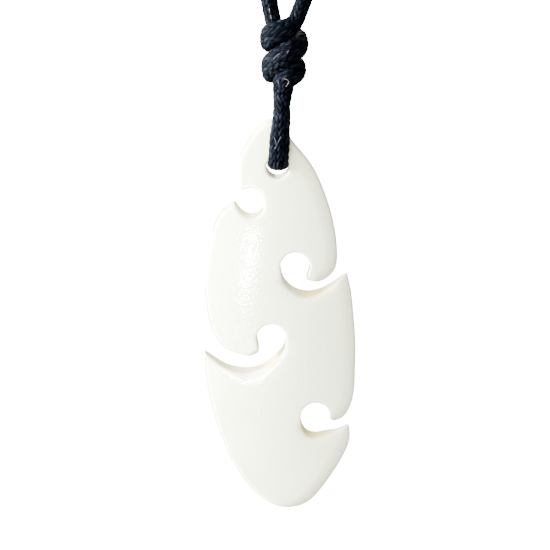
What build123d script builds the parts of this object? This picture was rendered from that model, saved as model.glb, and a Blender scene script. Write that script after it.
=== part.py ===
"""Carved bone pendant with wave cuts, knotted on a round waxed cord that loops round the neck.

Millimetres, +Z up. The origin is the middle of the cord at the nape, where the loop hangs on the
wearer. -Y is the wearer's front and +X is to the right of someone who looks at the pendant.
"""

import os
from collections import namedtuple
from math import pi, radians, tan

from build123d import *

# The bone carving
pendant_height = 53.8
pendant_width = 20.5
pendant_thickness = 4.8  # at the middle of the domed faces
side_thickness = 1.8  # at the left and right edges
end_thickness = 2.4  # at the top and the tip
eye_diameter = 4.0  # the round end of each cut
hole_diameter = 3.0
hole_rim_round = 0.5

# The cord
cord_diameter = 2.0
cord_gap = 0.05  # between the cord and the bone that it passes
strand_gap = 0.1  # between the two strands under the knot

# How the necklace hangs: the cord hole lies below and in front of the nape
hole_drop = 205.0
hole_reach = 130.0
loop_half_width = 62.0  # from the middle of the neck to the cord at its side
knot_rise = 15.5  # knot's middle above the cord hole
knot_side = 0.95  # knot's middle to the right of the cord hole

# The knot that closes the loop at the nape
closing_turns = 4

cord_radius = cord_diameter / 2
eye_radius = eye_diameter / 2
hole_radius = hole_diameter / 2
hole_centre = Vector(0, -hole_reach, -hole_drop)

# The carving's outline. Places are shares: across, of the width from the left side, and down, of
# the height from the top.
hole_across = 0.482
hole_down = 0.122

# A cut opens to the left or the right side. Its eye's wall is an arc that starts wall_from degrees
# round from +X and goes wall_turn degrees anticlockwise. The hook is the point beside the eye, and
# the bowl is the lower edge, from the eye out to the point of the wing.
Cut = namedtuple("Cut", "opens eye wall_from wall_turn hook bowl wing")
neck_cut = Cut(
    "left",
    (0.314, 0.200),
    0,
    130,
    (0.240, 0.172),
    [(0.403, 0.227), (0.367, 0.245), (0.308, 0.249), (0.252, 0.239)],
    (0.202, 0.214),
)
shoulder_cut = Cut(
    "right",
    (0.598, 0.370),
    -20,
    205,
    (0.672, 0.406),
    [(0.520, 0.411), (0.597, 0.441), (0.675, 0.449), (0.775, 0.440)],
    (0.940, 0.394),
)
waist_cut = Cut(
    "left",
    (0.441, 0.554),
    0,
    195,
    (0.360, 0.590),
    [(0.531, 0.580), (0.472, 0.613), (0.380, 0.638), (0.268, 0.647), (0.143, 0.636)],
    (0.012, 0.597),
)
tail_cut = Cut(
    "right",
    (0.733, 0.760),
    -10,
    192,
    (0.840, 0.769),
    [(0.642, 0.786), (0.673, 0.806), (0.718, 0.813), (0.823, 0.807), (0.868, 0.804)],
    (0.955, 0.788),
)
cuts = [neck_cut, shoulder_cut, waist_cut, tail_cut]

# The edges between the cuts, clockwise from the left of the top.
crest = [
    neck_cut.hook,
    (0.230, 0.113),
    (0.308, 0.044),
    (0.367, 0.015),
    (0.439, 0.003),
    (0.505, 0.015),
    (0.571, 0.052),
    (0.663, 0.095),
    (0.808, 0.206),
    (0.875, 0.332),
    (0.850, 0.379),
    (0.795, 0.399),
    (0.736, 0.407),
    shoulder_cut.hook,
]
right_side = [
    shoulder_cut.wing,
    (0.962, 0.428),
    (0.984, 0.495),
    (0.998, 0.567),
    (0.997, 0.644),
    (0.950, 0.742),
    (0.907, 0.763),
    tail_cut.hook,
]
tail = [
    tail_cut.wing,
    (0.965, 0.810),
    (0.936, 0.855),
    (0.861, 0.907),
    (0.777, 0.953),
    (0.676, 0.989),
    (0.562, 1.000),
    (0.437, 0.989),
    (0.326, 0.957),
    (0.151, 0.855),
    (0.034, 0.716),
    (0.007, 0.639),
    waist_cut.wing,
]
left_side = [
    waist_cut.hook,
    (0.308, 0.596),
    (0.222, 0.589),
    (0.143, 0.579),
    (0.044, 0.530),
    (0.018, 0.487),
    (0.005, 0.433),
    (0.041, 0.317),
    (0.140, 0.230),
    neck_cut.wing,
]


def on_face(place):
    """A share of the carving's width and height as a point on its middle plane, from the hole."""
    across, down = place
    return Vector((across - hole_across) * pendant_width, (hole_down - down) * pendant_height)


def draw_cut(cut):
    """The edges of one cut: hook to eye, round the eye, and out along the bowl to the wing."""
    wall = CenterArc(on_face(cut.eye), eye_radius, cut.wall_from, cut.wall_turn)
    if cut.opens == "right":
        hook_end, bowl_end, onwards = wall @ 0, wall @ 1, wall % 1
    else:
        hook_end, bowl_end, onwards = wall @ 1, wall @ 0, wall % 0 * -1
    Line(on_face(cut.hook), hook_end)
    bowl = [bowl_end, *[on_face(place) for place in cut.bowl], on_face(cut.wing)]
    Spline(bowl, tangents=[onwards, bowl[-1] - bowl[-2]])


# Both faces are domed. The dome is a lens lofted up the carving, a little wider than the outline.
# Each section stands up, above the middle, a share of the height, and reaches to each side a share
# of the width. Its side is a share of the side thickness.
Section = namedtuple("Section", "up reach side")
hole_up = 0.5 - hole_down
sections = [
    Section(-0.53, 0.30, 0.75),
    Section(-0.42, 0.45, 0.90),
    Section(-0.25, 0.54, 1.00),
    Section(0.00, 0.55, 1.00),
    Section(0.22, 0.50, 1.00),
    Section(hole_up, 0.40, 0.90),
    Section(0.53, 0.24, 0.75),
]
crown_middle = hole_centre + Vector((0.5 - hole_across) * pendant_width, 0, 0)
crown_middle -= Vector(0, 0, hole_up * pendant_height)
face_plane = Plane(origin=hole_centre, x_dir=(1, 0, 0), z_dir=(0, -1, 0))


def thickness_at(up):
    """The carving's thickness on its middle line, a share of the height above its middle."""
    return pendant_thickness - (pendant_thickness - end_thickness) * (2 * up) ** 2


with BuildPart() as crown:
    for section in sections:
        reach = section.reach * pendant_width
        middle = thickness_at(section.up) / 2
        side = section.side * side_thickness / 2
        with BuildSketch(Plane(crown_middle + Vector(0, 0, section.up * pendant_height))):
            with BuildLine():
                ThreePointArc((-reach, -side), (0, -middle), (reach, -side))
                Line((reach, -side), (reach, side))
                ThreePointArc((reach, side), (0, middle), (-reach, side))
                Line((-reach, side), (-reach, -side))
            make_face()
    loft()

with BuildPart() as pendant:
    with BuildSketch(face_plane.offset(-pendant_thickness)):
        with BuildLine():
            for cut in cuts:
                draw_cut(cut)
            for edge in (crest, right_side, tail, left_side):
                Spline([on_face(place) for place in edge])
        make_face()
        Circle(hole_radius, mode=Mode.SUBTRACT)
    extrude(amount=2 * pendant_thickness)
    add(crown.part, mode=Mode.INTERSECT)
    hole_wall = pendant.faces().sort_by_distance(hole_centre)[0]
    hole_rims = hole_wall.edges().filter_by(GeomType.LINE, reverse=True)
    fillet(hole_rims, radius=hole_rim_round)


def corner_radii(route):
    """As large an arc at each corner of a cord's route as its two runs allow."""
    radii = []
    for before, corner, after in zip(route, route[1:], route[2:]):
        runs = corner - before, after - corner
        half_turn = radians(runs[0].get_angle(runs[1])) / 2
        radii.append(0.45 * min(run.length for run in runs) / tan(half_turn))
    return radii


def print_cord(name, radii, wire):
    """Print the arcs of a cord, its length, and its section times its length."""
    print(name, "radii", [round(radius, 2) for radius in radii])
    print(name, "length", round(wire.length, 1), "section times length", end=" ")
    print(round(pi * cord_radius**2 * wire.length, 2))


# The four places where a strand leaves the knot: beside, in front of and above the knot's middle,
# in cord diameters
knot_middle = hole_centre + Vector(knot_side, 0, knot_rise)
strand_shift = (0.5 * cord_diameter + strand_gap / 2) / cord_diameter
ports = {
    "right": knot_middle + cord_diameter * Vector(0.86, 0, 2.5),
    "left": knot_middle + cord_diameter * Vector(-0.89, 0.1, 2.3),
    "front": knot_middle + cord_diameter * Vector(-0.055, -strand_shift, -2.35),
    "back": knot_middle + cord_diameter * Vector(-0.055, strand_shift, -2.35),
}

# The loop under the knot: down in front of the carving, through its hole and up behind it. It
# bears on the top of the hole, so its two tight corners follow the hole's rounded rim. Each strand
# has one gentle bend, where it bows to the side and in towards the other strand.
bow_side, bow_in, bow_up = 0.6, 0.45, 7.6
strand_out = thickness_at(hole_up) / 2 + cord_radius + cord_gap
strand_up = hole_radius - cord_radius - cord_gap
rim_bend = hole_rim_round + cord_radius + cord_gap
loop_route = [
    ports["front"],
    hole_centre + Vector(bow_side, bow_in - strand_out, bow_up),
    hole_centre + Vector(0, -strand_out, strand_up),
    hole_centre + Vector(0, strand_out, strand_up),
    hole_centre + Vector(bow_side, strand_out - bow_in, bow_up),
    ports["back"],
]
loop_radii = corner_radii(loop_route)
loop_radii[1:3] = [rim_bend, rim_bend]

# The cord's way round the neck, from the knot up the right side and down the left: sideways, in
# front of and below the nape, as shares of the loop's half width, the hole's reach and its drop
neck_shares = [
    (0.194, 0.996, 0.795),
    (0.435, 0.962, 0.595),
    (0.726, 0.862, 0.361),
    (0.952, 0.646, 0.166),
    (0.968, 0.385, 0.049),
    (0.726, 0.138, 0.005),
    (0.387, 0, 0),
    (-0.387, 0, 0),
    (-0.726, 0.138, 0.005),
    (-0.968, 0.385, 0.049),
    (-0.935, 0.654, 0.171),
    (-0.661, 0.869, 0.376),
    (-0.300, 0.967, 0.607),
    (-0.071, 0.996, 0.795),
]
neck_route = [
    ports["right"],
    *[
        Vector(side * loop_half_width, -reach * hole_reach, -drop * hole_drop)
        for side, reach, drop in neck_shares
    ],
    ports["left"],
]
neck_radii = corner_radii(neck_route)

with BuildPart() as pendant_loop:
    with BuildLine() as loop_path:
        FilletPolyline(*loop_route, radius=loop_radii)
    with BuildSketch(Plane(origin=loop_path.line @ 0, z_dir=loop_path.line % 0)):
        Circle(cord_radius)
    sweep(path=loop_path.line)
print_cord("pendant_loop", loop_radii, loop_path.wires()[0])

with BuildPart() as neck_cord:
    with BuildLine() as neck_path:
        FilletPolyline(*neck_route, radius=neck_radii)
    with BuildSketch(Plane(origin=neck_path.line @ 0, z_dir=neck_path.line % 0)):
        Circle(cord_radius)
    sweep(path=neck_path.line)
print_cord("neck_cord", neck_radii, neck_path.wires()[0])

# The knot's wraps are rings round its core. Each leans about the viewer's axis. Places and radii
# are in cord diameters.
Wrap = namedtuple("Wrap", "across up radius lean")
wraps = [
    Wrap(-0.26, 1.45, 1.02, -30),
    Wrap(0.00, 0.77, 1.10, 11),
    Wrap(0.03, -0.20, 1.22, -36),
    Wrap(-0.05, -1.35, 1.00, 9),
]
core_bottom, core_top, core_radius = -1.6, 1.4, 1.15
stub_length = 1.6
stubs = [
    (ports["right"], neck_route[1] - neck_route[0]),
    (ports["left"], neck_route[-2] - neck_route[-1]),
    (ports["front"], loop_route[1] - loop_route[0]),
    (ports["back"], loop_route[-2] - loop_route[-1]),
]

with BuildPart() as knot:
    with BuildSketch(Plane(knot_middle + Vector(0, 0, core_bottom * cord_diameter))):
        Circle(core_radius * cord_diameter)
    extrude(amount=(core_top - core_bottom) * cord_diameter)
    for wrap in wraps:
        place = knot_middle + cord_diameter * Vector(wrap.across, 0, wrap.up)
        with Locations(Location(place, (0, wrap.lean, 0))):
            Torus(wrap.radius * cord_diameter, cord_radius)
    for port, outwards in stubs:
        with BuildSketch(Plane(origin=port, z_dir=outwards)):
            Circle(cord_radius)
        extrude(amount=-stub_length * cord_diameter)

# The closing knot is a row of turns wound round the cord
bore_radius = cord_radius + cord_gap
closing_half = closing_turns * cord_radius

with BuildPart() as closing_knot:
    with BuildSketch(Plane.XY):
        with Locations((0, bore_radius + cord_radius / 2)):
            Rectangle(2 * closing_half - cord_diameter, cord_radius)
        with GridLocations(cord_diameter, 0, closing_turns, 1):
            with Locations((0, bore_radius + cord_radius)):
                Circle(cord_radius)
    revolve(axis=Axis.X)

os.makedirs("parts", exist_ok=True)
for name, piece in [
    ("pendant", pendant),
    ("pendant_loop", pendant_loop),
    ("knot", knot),
    ("neck_cord", neck_cord),
    ("closing_knot", closing_knot),
]:
    piece.part.label = name
    export_step(piece.part, f"parts/{name}.step")
    print(name, "volume", round(piece.part.volume, 2))
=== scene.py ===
"""A carved bone wave pendant, knotted on a round braided cord that loops round the neck.

Lengths are millimetres until they go into a mesh. Places near the pendant are from the middle of
its cord hole: x to the right, y away from the viewer, z up.
"""

from collections import namedtuple
from math import cos, pi, radians, sin

import bpy
import numpy as np
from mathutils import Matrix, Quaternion, Vector
from mathutils.geometry import delaunay_2d_cdt


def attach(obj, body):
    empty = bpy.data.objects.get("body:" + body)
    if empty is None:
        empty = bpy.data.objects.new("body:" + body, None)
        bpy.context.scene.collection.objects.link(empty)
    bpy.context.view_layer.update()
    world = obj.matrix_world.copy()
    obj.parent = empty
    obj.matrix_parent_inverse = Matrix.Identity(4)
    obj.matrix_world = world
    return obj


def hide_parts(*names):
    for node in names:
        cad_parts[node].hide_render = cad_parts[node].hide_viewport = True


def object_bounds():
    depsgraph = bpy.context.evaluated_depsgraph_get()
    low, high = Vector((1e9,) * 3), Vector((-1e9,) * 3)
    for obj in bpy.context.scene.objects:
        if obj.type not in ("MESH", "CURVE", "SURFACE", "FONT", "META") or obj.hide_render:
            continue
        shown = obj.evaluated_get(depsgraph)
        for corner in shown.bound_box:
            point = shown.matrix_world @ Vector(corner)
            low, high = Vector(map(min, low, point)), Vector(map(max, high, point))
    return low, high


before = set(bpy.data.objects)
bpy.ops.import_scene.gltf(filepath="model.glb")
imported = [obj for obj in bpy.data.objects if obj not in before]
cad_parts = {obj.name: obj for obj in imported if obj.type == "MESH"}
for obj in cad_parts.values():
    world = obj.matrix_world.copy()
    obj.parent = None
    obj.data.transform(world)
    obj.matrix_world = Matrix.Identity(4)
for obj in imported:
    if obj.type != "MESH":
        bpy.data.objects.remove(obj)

cad_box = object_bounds()
MM = 0.001
HOLE_REACH = 130.0  # the cord hole, in front of the nape
HOLE_DROP = 205.0  # and below it
HOLE = np.array((0.0, -HOLE_REACH, -HOLE_DROP))

# The view
# The photograph looks a little down on the pendant, from far enough away that the carving keeps
# its shape from top to tip. Its middle lies below the cord hole.

VIEW_SIDE = 550
PIXELS_PER_MM = 7.4
VIEW_DISTANCE = 450.0
VIEW_ELEVATION = radians(13)
VIEW_MIDDLE = HOLE + (-0.34, 0, -14.9)

camera = bpy.data.objects.new("camera", bpy.data.cameras.new("camera"))
camera.data.sensor_width = 36
camera.data.lens = camera.data.sensor_width * PIXELS_PER_MM * VIEW_DISTANCE / VIEW_SIDE
camera.data.clip_start = 10 * MM
towards_viewer = Vector((0, -cos(VIEW_ELEVATION), sin(VIEW_ELEVATION)))
camera.location = (Vector(VIEW_MIDDLE) + VIEW_DISTANCE * towards_viewer) * MM
camera.rotation_euler = (pi / 2 - VIEW_ELEVATION, 0, 0)
bpy.context.collection.objects.link(camera)
bpy.context.scene.camera = camera


# The cord
# A round cord braided from twenty-four fine black yarns and waxed. Each yarn passes over two
# others and under two, so the surface is rows of slanting stitches that meet as a V.

CORD_RADIUS = 1.08  # with the soft pile of its yarns
BRAID_PITCH = 12.0
BRAID_YARNS = 12  # in each direction
BRAID_RELIEF = 0.12
FIBRE_LENGTH = 0.55
FIBRE_RADIUS = 0.012
FIBRE_DENSITY = 0.3e6  # in a square metre
SEAM_GAP = 0.0004  # points closer than this are one
CAP_LENGTH = 0.02


class Wire:
    """A socket of a node tree. A sum on it adds Math nodes to the tree."""

    def __init__(self, nodes, socket):
        self.nodes = nodes
        self.socket = socket

    def other(self, name):
        """Another output of the same node."""
        return Wire(self.nodes, self.socket.node.outputs[name])

    def maths(self, operation, *values):
        return self.nodes.node("ShaderNodeMath", {"operation": operation}, dict(enumerate(values)))

    def __add__(self, value):
        return self.maths("ADD", self, value)

    __radd__ = __add__

    def __sub__(self, value):
        return self.maths("SUBTRACT", self, value)

    def __rsub__(self, value):
        return self.maths("SUBTRACT", value, self)

    def __mul__(self, value):
        return self.maths("MULTIPLY", self, value)

    __rmul__ = __mul__

    def __truediv__(self, value):
        return self.maths("DIVIDE", self, value)

    def __pow__(self, value):
        return self.maths("POWER", self, value)

    def __mod__(self, value):
        return self.maths("FLOORED_MODULO", self, value)

    def __lt__(self, value):
        return self.maths("LESS_THAN", self, value)

    def __gt__(self, value):
        return self.maths("GREATER_THAN", self, value)

    def floor(self):
        return self.maths("FLOOR", self)

    def root(self):
        return self.maths("SQRT", self.maths("MAXIMUM", self, 0.0))

    def wave(self):
        """Waves from 0 to 1, one for each 2 pi."""
        return self.maths("SINE", self) * 0.5 + 0.5

    def towards(self, value, share):
        """This value, going over to another as the share grows."""
        return self + (value - self) * share

    def rise(self, start, end):
        """From 0 to 1 as this goes from start to end, held outside them."""
        sockets = {"Value": self, "From Min": start, "From Max": end}
        return self.nodes.node("ShaderNodeMapRange", {"interpolation_type": "SMOOTHSTEP"}, sockets)


class Nodes:
    """A node tree that is put together node by node."""

    def __init__(self, tree):
        self.tree = tree

    def node(self, kind, settings, sockets, output=0):
        """A new node: its settings, then the values or wires of its sockets."""
        node = self.tree.nodes.new(kind)
        for name, value in settings.items():
            setattr(node, name, value)
        for name, value in sockets.items():
            if isinstance(value, Wire):
                self.tree.links.new(value.socket, node.inputs[name])
            else:
                node.inputs[name].default_value = value
        return Wire(self, node.outputs[output])


def braid(around, along):
    """The braid at a place on the cord, both in turns: how far across its yarn and how far along
    its stitch the place is, from 0 to 1, and how high the stitch stands there."""
    left = (around - along) * BRAID_YARNS
    right = (around + along) * BRAID_YARNS
    left_yarn, right_yarn = left.floor(), right.floor()
    left_is_over = (left_yarn + right_yarn) % 4.0 < 1.5
    across = (right - right_yarn).towards(left - left_yarn, left_is_over)
    right_stitch = (left + right_yarn - 2.0) % 4.0 / 2.0
    stitch = right_stitch.towards((right + left_yarn) % 4.0 / 2.0, left_is_over)
    round_yarn = (1.0 - (across * 2.0 - 1.0) ** 2.0).root()
    height = round_yarn * (1.0 - (stitch * 2.0 - 1.0) ** 2.0 * 0.5)
    return across, stitch, height, (left_yarn, right_yarn, left_is_over)


# The finish: black with a trace of blue. Each yarn is a bundle of fine threads, and the wax on
# them has a dull shine. Some stitches are worn grey, and a few threads are cream. Bright streaks
# along the threads are painted highlights, and the low gaps between the stitches are painted near
# black as shade.


class Finish(Nodes):
    """A material, put together round its one shader."""

    def __init__(self, name, **constants):
        self.material = bpy.data.materials.new(name)
        self.material.use_nodes = True
        super().__init__(self.material.node_tree)
        self.shader = self.tree.nodes["Principled BSDF"]
        for socket, value in constants.items():
            self.shader.inputs[socket.replace("_", " ")].default_value = value

    def feed(self, **wires):
        """Wires for the shader's own sockets."""
        for name, wire in wires.items():
            self.tree.links.new(wire.socket, self.shader.inputs[name.replace("_", " ")])

    def blend(self, share, first, second):
        """The first colour, going over to the second as the share grows."""
        sockets = {0: share, 6: first, 7: second}
        return self.node("ShaderNodeMix", {"data_type": "RGBA"}, sockets, output=2)

    def noise(self, place, scale, detail=2.0, roughness=0.5):
        """Soft noise from 0 to 1 at a place."""
        sockets = {"Vector": place, "Scale": scale, "Detail": detail, "Roughness": roughness}
        return self.node("ShaderNodeTexNoise", {}, sockets)

    def stretched(self, place, scale):
        """A place stretched on each axis."""
        return self.node("ShaderNodeVectorMath", {"operation": "MULTIPLY"}, {0: place, 1: scale})


cord_finish = Finish(
    "waxed_braid", Specular_IOR_Level=0.0105, Specular_Tint=(0.5, 0.7, 1.0, 1.0)
)
lay = cord_finish.node("ShaderNodeUVMap", {"uv_map": "lay"}, {})
around = cord_finish.node("ShaderNodeSeparateXYZ", {}, {"Vector": lay})
across, stitch, height, yarns = braid(around, around.other("Y"))
names = dict(zip("XYZ", yarns))
yarn_place = cord_finish.node("ShaderNodeCombineXYZ", {}, names)
chance = cord_finish.node("ShaderNodeTexWhiteNoise", {}, {"Vector": yarn_place})
wear_and_glint_noise = cord_finish.noise(cord_finish.stretched(lay, (9.0, 14.0, 1.0)), 1.0, detail=4.0)
threads = (across * 19.0 + wear_and_glint_noise * 9.0 + chance * 6.0).wave()
grey = (chance * 0.5 + wear_and_glint_noise * 0.8 + threads * 0.2).rise(0.72, 1.1) * height
# painted highlight: thin bright streaks along the threads, standing in for glints on the wax
painted_glint = (wear_and_glint_noise + chance * 0.35).rise(0.62, 0.85) * (threads - 0.35) * (height > 0.5)
cream = (chance > 0.985) * (threads > 0.75) * (height > 0.6)

yarn = cord_finish.blend(grey, (0.0001, 0.0003, 0.0008, 1), (0.0009, 0.0014, 0.0027, 1))
# painted shade: where the stitches sink, between them, the colour goes near black
yarn = cord_finish.blend(height.rise(0.1, 0.6), (0.0001, 0.0001, 0.0003, 1), yarn)
# the painted glints go into the colour here
yarn = cord_finish.blend(painted_glint, yarn, (0.0120, 0.0138, 0.0190, 1))
yarn = cord_finish.blend(cream, yarn, (0.12, 0.1, 0.07, 1))
cord_height = height * 0.6 + threads * height * 0.3
sockets = {"Height": cord_height, "Strength": 0.9, "Distance": 0.15 * MM}
cord_finish.feed(
    Base_Color=yarn,
    Roughness=wear_and_glint_noise * 0.25 + (1.0 - threads) * 0.2 + 0.35,
    Normal=cord_finish.node("ShaderNodeBump", {}, sockets),
)

# The braid follows a line. Its section is as wide and as deep as the line says, and deep is
# measured along the line's facing direction. A few loose fibres stand off it.
braider = Nodes(bpy.data.node_groups.new("braider", "GeometryNodeTree"))
for name, kind in (
    ("Line", "Geometry"),
    ("Points Round", "Int"),
    ("Radius", "Float"),
    ("Relief", "Float"),
    ("Fibres", "Float"),
    ("Fibre Length", "Float"),
    ("Fibre Radius", "Float"),
    ("Seed", "Int"),
    ("Finish", "Material"),
):
    braider.tree.interface.new_socket(name, in_out="INPUT", socket_type="NodeSocket" + kind)
braider.tree.interface.new_socket("Cord", in_out="OUTPUT", socket_type="NodeSocketGeometry")
given = braider.node("NodeGroupInput", {}, {})


def line_says(name, kind="FLOAT"):
    return braider.node("GeometryNodeInputNamedAttribute", {"data_type": kind}, {"Name": name})


def vector_maths(operation, *values, output=0):
    settings = {"operation": operation}
    return braider.node("ShaderNodeVectorMath", settings, dict(enumerate(values)), output)


line = braider.node("GeometryNodeMeshToCurve", {}, {"Mesh": given})
sockets = {"Curve": line, "Normal": line_says("side", "FLOAT_VECTOR")}
line = braider.node("GeometryNodeSetCurveNormal", {"mode": "FREE"}, sockets)
sockets = {"Resolution": given.other("Points Round") + 1.0, "Radius": 1.0, "Sweep Angle": 2 * pi}
rim = braider.node("GeometryNodeCurveArc", {"mode": "RADIUS"}, sockets)
round_share = braider.node("GeometryNodeSplineParameter", {}, {})
sockets = {"Geometry": rim, "Name": "around", "Value": round_share}
rim = braider.node("GeometryNodeStoreNamedAttribute", {"data_type": "FLOAT"}, sockets)
tube = braider.node("GeometryNodeCurveToMesh", {}, {"Curve": line, "Profile Curve": rim})

# each point goes out from the line as far as the section and the braid put it
around, along = line_says("around"), line_says("turns")
middle = line_says("middle", "FLOAT_VECTOR")
spoke = vector_maths("SUBTRACT", braider.node("GeometryNodeInputPosition", {}, {}), middle)
deep_share = vector_maths("DOT_PRODUCT", spoke, line_says("facing", "FLOAT_VECTOR"), output=1)
wide, deep = line_says("wide"), line_says("deep")
narrowing = (1.0 - deep_share**2.0) * deep**2.0 + deep_share**2.0 * wide**2.0
height = braid(around, along)[2]
surface = given.other("Radius") - given.other("Relief") * (0.75 - height)
sockets = {"Vector": spoke, "Scale": wide * deep / narrowing.root() * surface}
spoke = braider.node("ShaderNodeVectorMath", {"operation": "SCALE"}, sockets)
sockets = {"Geometry": tube, "Position": vector_maths("ADD", middle, spoke)}
tube = braider.node("GeometryNodeSetPosition", {}, sockets)
lay = braider.node("ShaderNodeCombineXYZ", {}, {"X": around, "Y": along})
sockets = {"Geometry": tube, "Name": "lay", "Value": lay}
tube = braider.node(
    "GeometryNodeStoreNamedAttribute", {"data_type": "FLOAT2", "domain": "CORNER"}, sockets
)
sockets = {"Geometry": tube, "Distance": SEAM_GAP * MM}
tube = braider.node("GeometryNodeMergeByDistance", {}, sockets)

# a fibre is a thin bent hair, turned and sized by chance
sockets = {"Mesh": tube, "Density": given.other("Fibres"), "Seed": given.other("Seed")}
roots = braider.node("GeometryNodeDistributePointsOnFaces", {}, sockets)
hair_end = braider.node("ShaderNodeCombineXYZ", {}, {"X": 0.7, "Z": 0.6})
sockets = {"Start": (0, 0, -0.1), "Middle": (0.1, 0, 0.5), "End": hair_end, "Resolution": 4}
hair = braider.node("GeometryNodeCurveQuadraticBezier", {}, sockets)
hair_rim = braider.node(
    "GeometryNodeCurvePrimitiveCircle",
    {"mode": "RADIUS"},
    {"Resolution": 3, "Radius": given.other("Fibre Radius") / given.other("Fibre Length")},
)
sockets = {"Curve": hair, "Profile Curve": hair_rim, "Fill Caps": True}
hair = braider.node("GeometryNodeCurveToMesh", {}, sockets)
sockets = {"Min": (0, 0, 0), "Max": (0.7, 0.7, 2 * pi), "Seed": given.other("Seed")}
turn = braider.node("FunctionNodeRandomValue", {"data_type": "FLOAT_VECTOR"}, sockets)
turn = braider.node("FunctionNodeEulerToRotation", {}, {"Euler": turn})
sockets = {"Rotation": roots.other("Rotation"), "Rotate By": turn}
turn = braider.node("FunctionNodeRotateRotation", {"rotation_space": "LOCAL"}, sockets)
sockets = {2: 0.4, 3: 1.5, "Seed": given.other("Seed") + 1.0}
size = braider.node("FunctionNodeRandomValue", {"data_type": "FLOAT"}, sockets, output=1)
sockets = {
    "Points": roots,
    "Instance": hair,
    "Rotation": turn,
    "Scale": size * given.other("Fibre Length"),
}
fibres = braider.node("GeometryNodeInstanceOnPoints", {}, sockets)
cord = braider.node("GeometryNodeJoinGeometry", {}, {"Geometry": tube})
braider.tree.links.new(fibres.socket, cord.socket.node.inputs["Geometry"])
cord = braider.node("GeometryNodeRealizeInstances", {}, {"Geometry": cord})
cord = braider.node("GeometryNodeSetShadeSmooth", {}, {"Geometry": cord})
sockets = {"Geometry": cord, "Material": given.other("Finish")}
cord = braider.node("GeometryNodeSetMaterial", {}, sockets)
finished = braider.tree.nodes.new("NodeGroupOutput")
braider.tree.links.new(cord.socket, finished.inputs["Cord"])


def unit(vectors):
    """The same directions, one long."""
    return vectors / np.linalg.norm(vectors, axis=-1, keepdims=True)


def directions(line):
    """The way that a line runs at each of its places."""
    return unit(np.gradient(line[:, :3], axis=0))


def carried(line, first):
    """A direction square to the line at each place, carried along it without a twist."""
    sides = [first]
    for run in directions(line):
        sides.append(unit(sides[-1] - run * (sides[-1] @ run)))
    return np.array(sides[1:])


def follow(route, step):
    """The smooth line that a route's points pull a cord into, as places a step apart."""
    curve = bpy.data.curves.new("route", "CURVE")
    curve.dimensions = "3D"
    spline = curve.splines.new("NURBS")
    spline.points.add(len(route) - 1)
    for point, place in zip(spline.points, route):
        point.co = (*(HOLE + place[:3]) * MM, 1)
    spline.order_u = 3
    spline.use_endpoint_u = True
    spline.resolution_u = 24
    guide = bpy.data.objects.new("route", curve)
    bpy.context.collection.objects.link(guide)
    mesh = bpy.data.meshes.new_from_object(guide)
    line = np.array([vertex.co for vertex in mesh.vertices]) / MM
    bpy.data.objects.remove(guide)
    bpy.data.curves.remove(curve)
    bpy.data.meshes.remove(mesh)

    # the widths change along the line as its places do
    spans = len(route) - 2
    centres = [0, *np.arange(spans) + 0.5, spans]
    along = np.linspace(0, spans, len(line))
    widths = [np.interp(along, centres, [place[i] for place in route]) for i in (3, 4)]

    run = np.r_[0, np.cumsum(np.linalg.norm(np.diff(line, axis=0), axis=1))]
    stations = np.linspace(0, run[-1], round(run[-1] / step) + 1)
    return np.column_stack([np.interp(stations, run, column) for column in (*line.T, *widths)])


def braided_cord(name, line, side, turns, facing, points_round, seed):
    """A braided cord along a line of places, closed at both ends."""
    onwards = directions(line)[[0, -1]] * ((-CAP_LENGTH,), (CAP_LENGTH,))
    ends = line[[0, -1]] + np.pad(onwards, ((0, 0), (0, 2)))
    ends[:, 3:] = 0
    line = np.concatenate([ends[:1], line, ends[1:]])
    side, turns, facing = (
        np.concatenate([values[:1], values, values[-1:]]) for values in (side, turns, facing)
    )
    mesh = bpy.data.meshes.new(name)
    middles = line[:, :3] * MM
    count = len(line)
    mesh.from_pydata(middles.tolist(), [(i, i + 1) for i in range(count - 1)], [])
    for label, values in (("middle", middles), ("side", side), ("facing", facing)):
        attribute = mesh.attributes.new(label, "FLOAT_VECTOR", "POINT")
        attribute.data.foreach_set("vector", values.astype(np.float32).ravel())
    for label, values in (("wide", line[:, 3]), ("deep", line[:, 4]), ("turns", turns)):
        attribute = mesh.attributes.new(label, "FLOAT", "POINT")
        attribute.data.foreach_set("value", values.astype(np.float32))

    piece = bpy.data.objects.new(name, mesh)
    bpy.context.collection.objects.link(piece)
    braiding = piece.modifiers.new("braiding", "NODES")
    braiding.node_group = braider.tree
    settings = {
        "Points Round": points_round,
        "Radius": CORD_RADIUS * MM,
        "Relief": BRAID_RELIEF * MM,
        "Fibres": FIBRE_DENSITY,
        "Fibre Length": FIBRE_LENGTH * MM,
        "Fibre Radius": FIBRE_RADIUS * MM,
        "Seed": seed,
        "Finish": cord_finish.material,
    }
    for socket in braider.tree.interface.items_tree:
        if socket.name in settings:
            braiding[socket.identifier] = settings[socket.name]
    finished = piece.evaluated_get(bpy.context.evaluated_depsgraph_get())
    piece.data = bpy.data.meshes.new_from_object(finished)
    piece.modifiers.clear()
    for label in ("middle", "side", "facing", "wide", "deep", "turns", "around"):
        attribute = piece.data.attributes.get(label)
        if attribute:
            piece.data.attributes.remove(attribute)
    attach(piece, "root")
    return piece


# The knotted cord
# The stretch of cord that the knot is tied in. From the right it winds twice round its own other
# end as the knot, goes down in front of the bone, through the cord hole and up behind it, and
# rises through the middle of the knot to the left. It is pulled flat in the knot and at the hole.

KNOT_AXIS = 0.95

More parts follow.
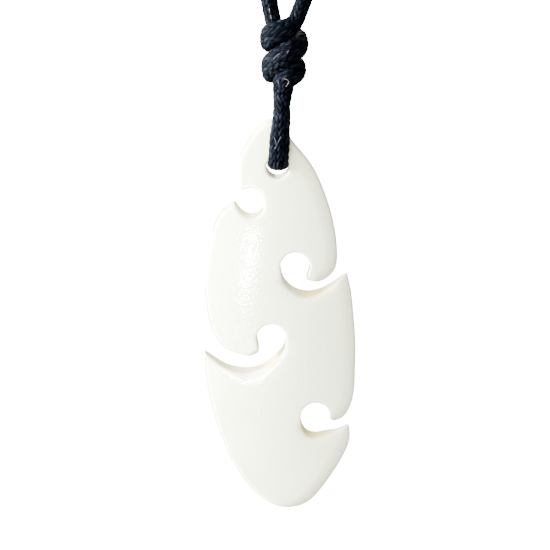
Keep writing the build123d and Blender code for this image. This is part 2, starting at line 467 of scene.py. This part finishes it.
# Where the cord goes, and its half width and half depth there
Place = namedtuple("Place", "x y z wide deep")
KNOTTED_ROUTE = [
    Place(4.30, 0.10, 24.60, 1.03, 1.03),
    Place(3.05, -0.30, 21.37, 1.03, 1.03),
    Place(2.28, -1.35, 19.48, 1.12, 0.95),
    Place(0.28, -2.20, 18.58, 1.45, 0.86),
    Place(-1.52, -1.10, 17.81, 1.45, 0.86),
    Place(-1.38, 1.20, 16.85, 1.45, 0.86),
    Place(0.60, 2.40, 16.79, 1.45, 0.86),
    Place(2.72, 1.80, 17.15, 1.45, 0.86),
    Place(3.45, -0.60, 16.72, 1.45, 0.86),
    Place(2.17, -2.30, 16.20, 1.45, 0.86),
    Place(0.45, -2.50, 15.22, 1.45, 0.86),
    Place(-1.36, -1.20, 13.87, 1.45, 0.86),
    Place(-1.16, 1.20, 12.73, 1.45, 0.86),
    Place(0.60, 2.40, 12.60, 1.45, 0.86),
    Place(2.52, 1.70, 13.26, 1.45, 0.86),
    Place(3.12, -0.60, 13.30, 1.45, 0.86),
    Place(1.91, -2.10, 12.88, 1.45, 0.86),
    Place(0.84, -1.80, 12.09, 1.42, 0.90),
    Place(0.70, -1.10, 10.35, 1.24, 0.92),
    Place(0.56, -1.60, 8.69, 1.06, 1.00),
    Place(0.45, -2.40, 6.81, 1.05, 1.00),
    Place(0.30, -2.85, 4.46, 1.28, 0.85),
    Place(0.14, -2.80, 1.90, 1.27, 0.80),
    Place(0.06, -2.60, 0.62, 1.30, 0.72),
    Place(0.02, 0.00, 0.42, 1.30, 0.68),
    Place(0.05, 2.60, 0.62, 1.30, 0.72),
    Place(0.20, 2.80, 2.40, 1.15, 0.85),
    Place(0.70, 2.45, 5.20, 1.03, 1.00),
    Place(0.65, 1.60, 8.20, 1.00, 1.00),
    Place(0.54, 1.00, 10.75, 1.00, 1.00),
    Place(0.73, 0.20, 13.10, 1.00, 1.00),
    Place(0.86, 0.00, 15.02, 1.00, 1.00),
    Place(0.46, 0.00, 16.90, 1.00, 1.00),
    Place(-0.34, 0.40, 18.72, 1.00, 1.00),
    Place(-0.80, 0.10, 20.64, 1.03, 1.03),
    Place(-1.55, 0.12, 24.60, 1.03, 1.03),
]

KNOTTED_STEP = 0.1
FIRST_TURN = 0.013
knotted_line = follow(KNOTTED_ROUTE, KNOTTED_STEP)
knotted_side = carried(knotted_line, np.array((1.0, 0, 0)))
knotted_length = KNOTTED_STEP * (len(knotted_line) - 1)
knotted_turns = FIRST_TURN + np.linspace(0, knotted_length / BRAID_PITCH, len(knotted_line))

# A wrap lies flat on the knot's core, and a strand under the knot lies flat on the bone. In the
# hole the cord lies flat on the hole's wall.
KNOT_FOOT = 10  # above the cord hole
KNOT_FADE = 1.3
HALF_BONE = 2.4
HOLE_HEIGHT = 3  # below this the cord is at the hole
LEAST_REACH = 0.2  # so that a place on the middle plane has a direction too
from_hole = knotted_line[:, :3] - HOLE
in_knot = np.clip((from_hole[:, 2] - KNOT_FOOT) / KNOT_FADE, 0, 1)
outwards = np.column_stack(
    [
        (from_hole[:, 0] - KNOT_AXIS) * in_knot,
        from_hole[:, 1] + np.where(from_hole[:, 1] < 0, -LEAST_REACH, LEAST_REACH),
        np.zeros(len(from_hole)),
    ]
)
in_hole = np.clip(1 - np.abs(from_hole[:, 1]) / HALF_BONE, 0, 1) * (from_hole[:, 2] < HOLE_HEIGHT)
in_hole = in_hole[:, None]
outwards = unit(outwards) * (1 - in_hole) + in_hole * (0, 0, -1)
runs = directions(knotted_line)
outwards = unit(outwards - runs * np.sum(outwards * runs, axis=1, keepdims=True))
knotted_cord = braided_cord(
    "knotted_cord", knotted_line, knotted_side, knotted_turns, outwards, points_round=72, seed=3
)
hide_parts("knot", "pendant_loop")


# The odd threads
# A few threads of the braid show singly: a pale hooked one just below the knot, two pale ones on
# the left strand above it, and worn grey ones that mark single stitches, whose pale grey is partly
# a painted highlight on those stitches. Their places are across and up from the cord hole, and
# they lie on the front of the cord.

THREAD_RADIUS = 0.06
THREAD_SHADES = {
    "pale_thread": (0.06, 0.050, 0.043, 1),
    # worn stitches, their pale grey partly a painted highlight
    "worn_thread": (0.011, 0.0125, 0.017, 1),
}
PALE, WORN_GLINT = range(len(THREAD_SHADES))
VIEWER_SIDE = -20  # well in front of the cord
Thread = namedtuple("Thread", "shade places")
ODD_THREADS = [
    Thread(PALE, [(0.88, 12.45), (1.42, 12.30), (1.52, 11.85), (1.10, 11.35)]),
    Thread(PALE, [(-1.10, 21.55), (-1.06, 21.30), (-1.02, 21.05)]),
    Thread(PALE, [(-0.92, 20.65), (-0.86, 20.40), (-0.82, 20.15)]),
    Thread(WORN_GLINT, [(-0.44, 4.70), (-0.25, 4.20), (-0.07, 3.67)]),
    Thread(WORN_GLINT, [(0.46, 4.76), (0.04, 3.95), (-0.33, 3.13)]),
    Thread(WORN_GLINT, [(1.28, 15.90), (1.40, 16.15), (1.50, 16.35)]),
    Thread(WORN_GLINT, [(-0.02, 12.20), (0.00, 12.00), (0.04, 11.70)]),
    Thread(WORN_GLINT, [(0.13, 12.20), (0.13, 12.00), (0.15, 11.70)]),
    Thread(WORN_GLINT, [(0.30, 13.55), (0.62, 13.75), (0.85, 13.62)]),
    Thread(WORN_GLINT, [(-0.55, 15.05), (-0.15, 15.55), (0.30, 15.85)]),
]
finished_scene = bpy.context.evaluated_depsgraph_get()
thread_curve = bpy.data.curves.new("thread_guides", "CURVE")
thread_curve.dimensions = "3D"
thread_curve.bevel_depth = THREAD_RADIUS * MM
thread_curve.bevel_resolution = 2
thread_curve.use_fill_caps = True
for name, shade in THREAD_SHADES.items():
    thread_finish = Finish(name, Roughness=0.6, Specular_IOR_Level=0.1)
    thread_finish.shader.inputs["Base Color"].default_value = shade
    thread_curve.materials.append(thread_finish.material)
for thread in ODD_THREADS:
    spline = thread_curve.splines.new("NURBS")
    spline.points.add(len(thread.places) - 1)
    for point, (x, z) in zip(spline.points, thread.places):
        ahead = Vector(HOLE + (x, VIEWER_SIDE, z)) * MM
        on_cord = knotted_cord.ray_cast(ahead, Vector((0, 1, 0)), depsgraph=finished_scene)[1]
        point.co = (*on_cord, 1)
    spline.order_u = 3
    spline.use_endpoint_u = True
    spline.material_index = thread.shade
thread_guides = bpy.data.objects.new("thread_guides", thread_curve)
bpy.context.collection.objects.link(thread_guides)
odd_threads = bpy.data.objects.new("odd_threads", bpy.data.meshes.new_from_object(thread_guides))
bpy.data.objects.remove(thread_guides)
bpy.context.collection.objects.link(odd_threads)
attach(odd_threads, "root")


# The neck cord
# The rest of the same cord: up from the knot on the left, round the neck and down on the right.
# The braid runs on from the knotted stretch and meets it again at the other end.

LOOP_HALF_WIDTH = 62.0
# Sideways, in front of and below the nape, as shares of that width, the hole's reach and its drop
NECK_SHARES = [
    (-0.071, 0.996, 0.795),
    (-0.300, 0.967, 0.607),
    (-0.661, 0.869, 0.376),
    (-0.935, 0.654, 0.171),
    (-0.968, 0.385, 0.049),
    (-0.726, 0.138, 0.005),
    (-0.387, 0, 0),
    (0.387, 0, 0),
    (0.726, 0.138, 0.005),
    (0.968, 0.385, 0.049),
    (0.952, 0.646, 0.166),
    (0.726, 0.862, 0.361),
    (0.435, 0.962, 0.595),
    (0.194, 0.996, 0.795),
]
neck_route = [
    Place(*np.array((side * LOOP_HALF_WIDTH, -reach * HOLE_REACH, -drop * HOLE_DROP)) - HOLE, 1, 1)
    for side, reach, drop in NECK_SHARES
]
NECK_STEP = 0.3
neck_line = follow([KNOTTED_ROUTE[-1], *neck_route, KNOTTED_ROUTE[0]], NECK_STEP)
neck_length = NECK_STEP * (len(neck_line) - 1)
neck_side = carried(neck_line, knotted_side[-1])

# a slow twist brings the yarns of the two ends together
run = directions(neck_line)[-1]
first_side = unit(knotted_side[0] - run * (knotted_side[0] @ run))
missing = np.arctan2(np.cross(neck_side[-1], first_side) @ run, neck_side[-1] @ first_side)
twist = np.linspace(0, missing, len(neck_line))[:, None]
neck_up = np.cross(directions(neck_line), neck_side)
neck_side = neck_side * np.cos(twist) + neck_up * np.sin(twist)
yarns_round = (knotted_length + neck_length) / BRAID_PITCH * BRAID_YARNS
turns_round = round(yarns_round / 2) * 2 / BRAID_YARNS
neck_turns = np.linspace(knotted_turns[-1], FIRST_TURN + turns_round, len(neck_line))
neck_cord = braided_cord(
    "neck_cord_braid", neck_line, neck_side, neck_turns, neck_side, points_round=40, seed=4
)
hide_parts("neck_cord")


# The closing knot
# The loop is closed at the nape by a length of the same cord that is wound round it four times
# and tucked under its own turns.

CLOSING_TURNS = 4
COIL_RADIUS = 2.05
COIL_HALF_LENGTH = CLOSING_TURNS - 1.15
COIL_PLACES = 900
TUCK = 0.45  # how far in each end goes, of the radius
TUCK_ANGLE = 0.35
coil_angles = np.linspace(0, 2 * pi * (CLOSING_TURNS - 0.1), COIL_PLACES)
coil_tuck = 1 - TUCK * np.exp(-np.minimum(coil_angles, coil_angles[::-1]) / TUCK_ANGLE)
coil_run = np.linspace(-COIL_HALF_LENGTH, COIL_HALF_LENGTH, COIL_PLACES)
coil_line = np.column_stack(
    [
        coil_run,
        COIL_RADIUS * coil_tuck * np.sin(coil_angles),
        -COIL_RADIUS * coil_tuck * np.cos(coil_angles),
        np.ones((COIL_PLACES, 2)),
    ]
)
coil_side = carried(coil_line, np.array((1.0, 0, 0)))
coil_length = np.sum(np.linalg.norm(np.diff(coil_line[:, :3], axis=0), axis=1))
coil_turns = FIRST_TURN + np.linspace(0, coil_length / BRAID_PITCH, COIL_PLACES)
closing_coil = braided_cord(
    "closing_coil", coil_line, coil_side, coil_turns, coil_side, points_round=40, seed=5
)
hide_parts("closing_knot")


# The bone carving
# One flat piece of bone, sawn to a leaf with four wave cuts and filed until both faces are domed
# and every edge is round. Each cut runs from a drilled eye to the edge, and leaves a hook on one
# side of its mouth and a wing on the other.

PENDANT_HEIGHT = 53.8
PENDANT_WIDTH = 20.5
PENDANT_THICKNESS = 4.8
SIDE_THICKNESS = 1.8
END_THICKNESS = 2.4
HOLE_RADIUS = 1.5
HOLE_RISE = 0.2  # the drilled hole's middle, above the place that all is measured from
HOLE_STEPS = 64

# Places on the outline are shares: across, of the width from the left side, and down, of the
# height from the top.
HOLE_ACROSS = 0.482
HOLE_DOWN = 0.122
Cut = namedtuple("Cut", "opens eye radius wall_from wall_turn hook bowl wing")
neck_cut = Cut(
    "left",
    (0.304, 0.203),
    1.75,
    0,
    130,
    (0.234, 0.175),
    [(0.390, 0.225), (0.360, 0.241), (0.308, 0.246), (0.252, 0.237)],
    (0.200, 0.211),
)
shoulder_cut = Cut(
    "right",
    (0.598, 0.370),
    2.0,
    -20,
    205,
    (0.672, 0.406),
    [(0.520, 0.409), (0.597, 0.438), (0.675, 0.446), (0.775, 0.437)],
    (0.940, 0.394),
)
waist_cut = Cut(
    "left",
    (0.441, 0.554),
    2.0,
    0,
    195,
    (0.360, 0.590),
    [(0.531, 0.579), (0.472, 0.611), (0.380, 0.636), (0.268, 0.645), (0.143, 0.634)],
    (0.001, 0.597),
)
tail_cut = Cut(
    "right",
    (0.733, 0.760),
    2.0,
    -10,
    192,
    (0.862, 0.775),
    [(0.642, 0.786), (0.673, 0.806), (0.718, 0.813), (0.823, 0.807), (0.868, 0.804)],
    (0.955, 0.788),
)
crest = [
    neck_cut.hook,
    (0.230, 0.113),
    (0.308, 0.044),
    (0.367, 0.015),
    (0.439, 0.003),
    (0.505, 0.015),
    (0.571, 0.052),
    (0.663, 0.095),
    (0.808, 0.206),
    (0.875, 0.332),
    (0.852, 0.386),
    (0.795, 0.406),
    (0.736, 0.4125),
    shoulder_cut.hook,
]
right_side = [
    shoulder_cut.wing,
    (0.962, 0.428),
    (0.984, 0.495),
    (0.998, 0.567),
    (0.997, 0.644),
    (0.955, 0.746),
    (0.910, 0.768),
    tail_cut.hook,
]
tail = [
    tail_cut.wing,
    (0.965, 0.810),
    (0.936, 0.855),
    (0.861, 0.907),
    (0.777, 0.953),
    (0.676, 0.992),
    (0.562, 1.004),
    (0.437, 0.993),
    (0.326, 0.960),
    (0.151, 0.855),
    (0.034, 0.716),
    (0.003, 0.639),
    waist_cut.wing,
]
left_side = [
    waist_cut.hook,
    (0.308, 0.600),
    (0.222, 0.595),
    (0.143, 0.584),
    (0.044, 0.530),
    (0.018, 0.487),
    (0.005, 0.433),
    (0.041, 0.317),
    (0.138, 0.2265),
    neck_cut.wing,
]
OUTLINE_STEP = 0.15


def on_face(place):
    """A share of the carving's width and height as x and z from the cord hole."""
    across, down = place
    return np.array(
        ((across - HOLE_ACROSS) * PENDANT_WIDTH, (HOLE_DOWN - down) * PENDANT_HEIGHT)
    )


def smooth_line(points, first=None, last=None):
    """Points an outline step apart on the smooth line through the given ones. A first or last
    direction holds the line's end to it."""
    points = np.array(points)
    runs = np.linalg.norm(np.diff(points, axis=0), axis=1)
    steps = np.diff(points, axis=0) / runs[:, None]
    count = len(points)
    system = np.zeros((count, count))
    wanted = np.zeros((count, 2))
    for i in range(1, count - 1):
        system[i, i - 1 : i + 2] = runs[i], 2 * (runs[i - 1] + runs[i]), runs[i - 1]
        wanted[i] = 3 * (runs[i] * steps[i - 1] + runs[i - 1] * steps[i])
    system[0, :2], wanted[0] = (2, 1), 3 * steps[0]
    system[-1, -2:], wanted[-1] = (1, 2), 3 * steps[-1]
    if first is not None:
        system[0, :2], wanted[0] = (1, 0), unit(first)
    if last is not None:
        system[-1, -2:], wanted[-1] = (0, 1), unit(last)
    slopes = np.linalg.solve(system, wanted)
    line = []
    for i, run in enumerate(runs):
        share = np.linspace(0, 1, max(2, round(run / OUTLINE_STEP) + 1))[:-1, None]
        rest = 1 - share
        held = (1 + 2 * share) * rest**2 * points[i] + share**2 * (3 - 2 * share) * points[i + 1]
        led = share * rest**2 * slopes[i] - share**2 * rest * slopes[i + 1]
        line.append(held + run * led)
    return np.concatenate([*line, points[-1:]])


def cut_line(cut):
    """One cut's edge, from its hook round the eye and along the bowl to its wing."""
    steps = round(radians(cut.wall_turn) * cut.radius / OUTLINE_STEP)
    angles = np.radians(cut.wall_from + np.linspace(0, cut.wall_turn, steps))
    onwards = 1
    if cut.opens == "left":
        angles = angles[::-1]
        onwards = -1
    wall = on_face(cut.eye) + cut.radius * np.column_stack([np.cos(angles), np.sin(angles)])
    leaving = onwards * np.array((-sin(angles[-1]), cos(angles[-1])))
    bowl = [wall[-1], *[on_face(place) for place in cut.bowl], on_face(cut.wing)]
    hook = on_face(cut.hook)
    lip_steps = max(2, round(np.linalg.norm(wall[0] - hook) / OUTLINE_STEP))
    lip = hook + np.linspace(0, 1, lip_steps)[:-1, None] * (wall[0] - hook)
    return np.concatenate([lip, wall[:-1], smooth_line(bowl, leaving, bowl[-1] - bowl[-2])])


def bowl_line(cut):
    """The lower edge of a cut, which is filed rounder than its eye."""
    return smooth_line([on_face(place) for place in (*cut.bowl, cut.wing)])


def edge_line(edge):
    return smooth_line([on_face(place) for place in edge])


outer_lines = [edge_line(edge) for edge in (crest, right_side, tail, left_side)]
CUTS = (shoulder_cut, tail_cut, waist_cut, neck_cut)
cut_lines = [cut_line(cut) for cut in CUTS]
cut_lines[2:] = [line[::-1] for line in cut_lines[2:]]
outline = np.concatenate([line[:-1] for pair in zip(outer_lines, cut_lines) for line in pair])
hole_angles = np.linspace(0, 2 * pi, HOLE_STEPS + 1)
hole_line = HOLE_RADIUS * np.column_stack([np.cos(hole_angles), np.sin(hole_angles)])
hole_line += (0, HOLE_RISE)


def inside(points, loop):
    """Which points lie inside a closed loop."""
    x, z = points[:, 0, None], points[:, 1, None]
    (x0, z0), (x1, z1) = loop.T, np.roll(loop, -1, axis=0).T
    spans = (z0 > z) != (z1 > z)
    crossing = x0 + (z - z0) * (x1 - x0) / np.where(z1 == z0, 1, z1 - z0)
    return np.sum(spans & (x < crossing), axis=1) % 2 == 1


AT_ONCE = 2000  # points measured at a time


def distance_to(points, line):
    """How far each point is from a line of short straight steps."""
    starts, steps = line[:-1], np.diff(line, axis=0)
    lengths = np.sum(steps**2, axis=1)
    nearest = np.full(len(points), np.inf)
    for part in np.array_split(np.arange(len(points)), max(1, len(points) // AT_ONCE)):
        offset = points[part, None] - starts
        share = np.clip(np.sum(offset * steps, axis=2) / lengths, 0, 1)
        gaps = np.linalg.norm(offset - share[:, :, None] * steps, axis=2)
        nearest[part] = gaps.min(axis=1)
    return nearest


# Rows of points follow the edges where the faces turn over into them, and an even field of
# points fills the rest.
EDGE_ROWS = (0.05, 0.15, 0.3, 0.5, 0.75, 1.05, 1.4)
ROW_CLEARANCE = 0.92  # of the row's own gap, so that no row crosses another edge's
FIELD_STEP = 0.3
closed_outline = np.concatenate([outline, outline[:1]])


def beside(loop, gap):
    """A closed loop's points moved square to it by a gap, to its left."""
    way = unit(np.roll(loop, -1, axis=0) - np.roll(loop, 1, axis=0))
    return loop + gap * np.column_stack([-way[:, 1], way[:, 0]])


rows = []
for gap in EDGE_ROWS:
    for loop in (outline, hole_line[:-1]):
        row = beside(loop, -gap)
        clear = np.minimum(distance_to(row, closed_outline), distance_to(row, hole_line))
        rows.append(row[clear > ROW_CLEARANCE * gap])
low, high = outline.min(axis=0), outline.max(axis=0)
columns = np.arange(low[0], high[0], FIELD_STEP)
levels = np.arange(low[1], high[1], FIELD_STEP * sin(radians(60)))
field = np.array(
    [(x + FIELD_STEP / 2 * (i % 2), z) for i, z in enumerate(levels) for x in columns]
)
field = field[inside(field, outline)]
clear = np.minimum(distance_to(field, closed_outline), distance_to(field, hole_line))
field = field[clear > EDGE_ROWS[-1] + FIELD_STEP / 2]

plan = np.concatenate([outline, hole_line[:-1], *rows, field])
loops = (np.arange(len(outline)), len(outline) + np.arange(len(hole_line) - 1))
borders = [pair for loop in loops for pair in zip(loop.tolist(), np.roll(loop, -1).tolist())]
SAME_PLACE = 1e-5  # corners closer than this are one
triangulation = delaunay_2d_cdt(
    [Vector(point) for point in plan.tolist()], borders, [], 0, SAME_PLACE
)
plan = np.array(triangulation[0])
plan_faces = np.array(triangulation[2])
middles = plan[plan_faces].mean(axis=1)
in_bone = inside(middles, outline) & ~inside(middles, hole_line[:-1])
plan_faces = plan_faces[in_bone]

# The faces are domed like a lens, and turn over into the edges on an oval curve: a broad one
# along the outside, a narrower one along the cuts, and a small one at the cord hole.
Section = namedtuple("Section", "up reach side")
SECTIONS = [
    Section(-0.53, 0.30, 0.75),
    Section(-0.42, 0.45, 0.90),
    Section(-0.25, 0.54, 1.00),
    Section(0.00, 0.55, 1.00),
    Section(0.22, 0.50, 1.00),
    Section(0.5 - HOLE_DOWN, 0.40, 0.90),
    Section(0.53, 0.24, 0.75),
]
RIDGE = [(-1.9, -8.6), (-5.3, -17.8)]  # the soft leaning ridge of the left lobe
RIDGE_HEIGHT = 0.045
RIDGE_WIDTH = 2.9
Turnover = namedtuple("Turnover", "line width drop")
# the outside is filed rounder on the right than on the left
outer_width = np.interp(plan[:, 0], (-4, 4), (0.35, 1.8))
outer_drop = np.interp(plan[:, 0], (-4, 4), (0.25, 0.6))
turnovers = [Turnover(line, outer_width, outer_drop) for line in outer_lines]
# the waist cut's bowl is filed deepest at its middle
WAIST_MIDDLE = -3.7
WAIST_REACH = 1.9
waist_drop = 0.07 + 0.12 * np.exp(-(((plan[:, 0] - WAIST_MIDDLE) / WAIST_REACH) ** 2))
turnovers += [Turnover(line, 0.35, 0.05) for line in cut_lines]
turnovers += [
    Turnover(bowl_line(neck_cut), 0.8, 0.05),
    Turnover(bowl_line(shoulder_cut), 1.5, 0.10),
    Turnover(bowl_line(waist_cut), 2.5, waist_drop),
    Turnover(bowl_line(tail_cut), 1.3, 0.12),
    Turnover(hole_line, 0.4, 0.12),
]

up = 0.5 - HOLE_DOWN + plan[:, 1] / PENDANT_HEIGHT
off_axis = np.abs(plan[:, 0] - (0.5 - HOLE_ACROSS) * PENDANT_WIDTH)
reach = np.interp(up, [s.up for s in SECTIONS], [s.reach for s in SECTIONS]) * PENDANT_WIDTH
side = np.interp(up, [s.up for s in SECTIONS], [s.side for s in SECTIONS]) * SIDE_THICKNESS / 2
crown_height = (PENDANT_THICKNESS - (PENDANT_THICKNESS - END_THICKNESS) * (2 * up) ** 2) / 2
half = side + (crown_height - side) * (1 - np.clip(off_axis / reach, 0, 1) ** 2)
half = half + RIDGE_HEIGHT * np.exp(-((distance_to(plan, np.array(RIDGE)) / RIDGE_WIDTH) ** 2))
for turnover in turnovers:
    near = np.clip(1 - distance_to(plan, turnover.line) / turnover.width, 0, 1)
    half = half * (1 - turnover.drop * (1 - np.sqrt(1 - near**2)))

# Both faces and the wall between them
WALL_ROWS = 6
front = np.column_stack([plan[:, 0], -half, plan[:, 1]])
back = np.column_stack([plan[:, 0], half, plan[:, 1]])
vertices = [front, back]
faces = [*plan_faces.tolist(), *(plan_faces[:, ::-1] + len(plan)).tolist()]
count = 2 * len(plan)
for loop in loops:
    belts = [loop]
    for row in range(1, WALL_ROWS):
        share = row / WALL_ROWS
        vertices.append(front[loop] * (1 - share) + back[loop] * share)
        belts.append(count + np.arange(len(loop)))
        count += len(loop)
    belts.append(loop + len(plan))
    for belt, behind in zip(belts, belts[1:]):
        corners = [belt, np.roll(belt, -1), np.roll(behind, -1), behind]
        faces += np.column_stack(corners).tolist()
vertices = np.concatenate(vertices) + HOLE

mesh = bpy.data.meshes.new("bone_carving")
mesh.from_pydata((vertices * MM).tolist(), [], faces)
mesh.shade_smooth()
bone_carving = bpy.data.objects.new("bone_carving", mesh)
bpy.context.collection.objects.link(bone_carving)
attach(bone_carving, "root")
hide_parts("pendant")

# The walls of the cuts and the hole are left as they were sawn and drilled, and are stained where
# the saw turned. Their warm, darker colour is partly painted shade, as inside a narrow hollow, and
# some spots darken or lighten it as painted shade. The polish starts a little way in from their
# rims. The outer rim is painted darker as a thin line of shade, most on the left and less along
# the crest.
flat = vertices[:, [0, 2]] - HOLE[[0, 2]]
SAWN_REACH = 0.45  # in from a bowl's rim
RIM_REACH = 0.2  # in from any other rim
# the hole's wall: its drilled colour and painted shade
DRILLED = 0.6
ON_WALL = 0.02
from_bowl = np.min([distance_to(flat, bowl_line(cut)) for cut in CUTS], axis=0)
from_eye = np.min([distance_to(flat, line) for line in cut_lines], axis=0)
shares = [1 - from_bowl / SAWN_REACH, DRILLED - from_eye / RIM_REACH]
shares = np.clip(shares, 0, 1).max(axis=0)
shares[distance_to(flat, hole_line) < ON_WALL] = DRILLED
StainAndShade = namedtuple("StainAndShade", "x z reach strength")
# spots on the cut walls, partly a saw stain and partly painted shade: darker where the strength is
# positive, lighter where it is negative
STAINS_AND_SHADE = [
    StainAndShade(1.5, -16.2, 1.5, -0.5),
    StainAndShade(4.5, -17.3, 1.8, 1.4),
    StainAndShade(-0.2, -26.2, 1.8, 1.2),
    StainAndShade(5.2, -36.8, 1.8, 1.2),
]
for spot in STAINS_AND_SHADE:
    away = np.linalg.norm(flat - (spot.x, spot.z), axis=1)
    shares = shares * (1 + spot.strength * np.exp(-((away / spot.reach) ** 2)))
from_side = np.min([distance_to(flat, line) for line in outer_lines], axis=0)
# painted shade: a thin dark line along the outer rim, strongest on the left
rim_shade = np.clip(1.4 - from_side / RIM_REACH, 0, 1)
rim_shade = rim_shade * np.interp(flat[:, 0], (-4, 4), (0.95, 0.2))
rim_shade = rim_shade * np.interp(flat[:, 1], (-9, -6.5), (1, 0.6))
for name, values in (("sawn", shares), ("rim", rim_shade)):
    attribute = mesh.attributes.new(name, "FLOAT", "POINT")
    attribute.data.foreach_set("value", values.astype(np.float32))


# The finish of the bone
# Bleached bone, polished by hand: ivory white, faintly streaked along the grain, with a fine
# grain of file marks that breaks up the gleam. The walls of the cuts are a little warmer and less
# polished, and their warmth is partly painted shade. The outer rim has a painted line of shade.

bone_finish = Finish(
    "polished_bone",
    Subsurface_Weight=0.3,
    Subsurface_Radius=(0.9, 0.75, 0.5),
    Subsurface_Scale=0.8 * MM,
    Specular_IOR_Level=0.6,
)
place = bone_finish.node("ShaderNodeTexCoord", {}, {}).other("Object")
grain_place = bone_finish.stretched(place, (1000.0, 1000.0, 90.0))
grain = bone_finish.noise(grain_place, 1.1, detail=5.0, roughness=0.6)
cloud = bone_finish.noise(place, 160.0, detail=3.0)
speckle = bone_finish.noise(place, 2450.0, detail=1.0)
sawn = bone_finish.node("ShaderNodeAttribute", {"attribute_name": "sawn"}, {}, output=2)
rim = bone_finish.node("ShaderNodeAttribute", {"attribute_name": "rim"}, {}, output=2)

bone = bone_finish.blend(cloud.rise(0.3, 0.7), (0.81, 0.835, 0.60, 1), (0.835, 0.86, 0.65, 1))
bone = bone_finish.blend(grain.rise(0.4, 0.75) * 0.45, bone, (0.755, 0.77, 0.51, 1))
# painted shade in part: the walls of the cuts and the hole are warmed and darkened, besides their
# own sawn colour
bone = bone_finish.blend(sawn * 0.6, bone, (0.52, 0.44, 0.17, 1))
# painted shade: the thin dark line along the outer rim
bone = bone_finish.blend(rim, bone, (0.03, 0.03, 0.03, 1))
bone_height = speckle + grain * 0.04
sockets = {"Height": bone_height, "Strength": 0.5, "Distance": 0.047 * MM}
bone_finish.feed(
    Base_Color=bone,
    Roughness=speckle * 0.06 + sawn * 0.3 + 0.07,
    Normal=bone_finish.node("ShaderNodeBump", {}, sockets),
)
mesh.materials.append(bone_finish.material)


# The studio
# A broad sheet of white paper below the pendant, and soft light from the upper left, with a
# paler light from all round. Two small panels near the viewer show as the gleams on the polish.

FLOOR_DROP = 60.0
SHEET_HALF = 3000
floor_level = cad_box[0][2] / MM - FLOOR_DROP
corners = [(-1, -1), (1, -1), (1, 1), (-1, 1)]
sheet_mesh = bpy.data.meshes.new("paper")
sheet_points = [
    (x * SHEET_HALF * MM, y * SHEET_HALF * MM, floor_level * MM) for x, y in corners
]
sheet_mesh.from_pydata(sheet_points, [], [(0, 1, 2, 3)])
paper = bpy.data.objects.new("paper", sheet_mesh)
bpy.context.collection.objects.link(paper)
paper.visible_diffuse = False
paper.visible_glossy = False
paper_finish = Finish("white_paper", Roughness=0.9, Emission_Strength=15.0)
paper_finish.shader.inputs["Base Color"].default_value = (0.94, 0.94, 0.94, 1)
paper_finish.shader.inputs["Emission Color"].default_value = (1, 1, 1, 1)
sheet_mesh.materials.append(paper_finish.material)


def soft_light(name, comes_from, strength, softness):
    """A broad far light: where it comes from, its strength and how wide it looks, in degrees."""
    light = bpy.data.objects.new(name, bpy.data.lights.new(name, "SUN"))
    light.data.energy = strength
    light.data.angle = radians(softness)
    light.rotation_euler = (-Vector(comes_from)).to_track_quat("-Z", "Y").to_euler()
    bpy.context.collection.objects.link(light)


soft_light("window", (-0.83, -0.44, 0.30), 13.0, 100)
soft_light("side_window", (-1.0, -0.02, 0.02), 180.0, 30)
soft_light("skylight", (-0.45, -0.50, 0.75), 8.0, 80)
soft_light("back_window", (-0.30, 0.75, 0.45), 9.0, 60)


def lamp(name, comes_from, distance, size, tilt, strength):
    """A small panel that faces the pendant and shows as a gleam on the polish."""
    light = bpy.data.objects.new(name, bpy.data.lights.new(name, "AREA"))
    light.data.shape = "RECTANGLE"
    light.data.size, light.data.size_y = size[0] * MM, size[1] * MM
    light.data.energy = strength
    away = Vector(comes_from).normalized()
    light.location = (Vector(VIEW_MIDDLE) + distance * away) * MM
    facing = (-away).to_track_quat("-Z", "Y")
    light.rotation_euler = (facing @ Quaternion((0, 0, 1), tilt)).to_euler()
    bpy.context.collection.objects.link(light)


LAMP_DISTANCE = 400.0
lamp("low_strip", (-0.222, -0.962, -0.158), LAMP_DISTANCE, (40.0, 20.0), radians(36), 1.3)
lamp("high_panel", (-0.10, -0.77, 0.55), LAMP_DISTANCE, (40.0, 28.0), 0.0, 0.5)

world = bpy.data.worlds.new("studio")
world.use_nodes = True
world.node_tree.nodes["Background"].inputs["Color"].default_value = (1, 1, 1, 1)
world.node_tree.nodes["Background"].inputs["Strength"].default_value = 0.75
bpy.context.scene.world = world
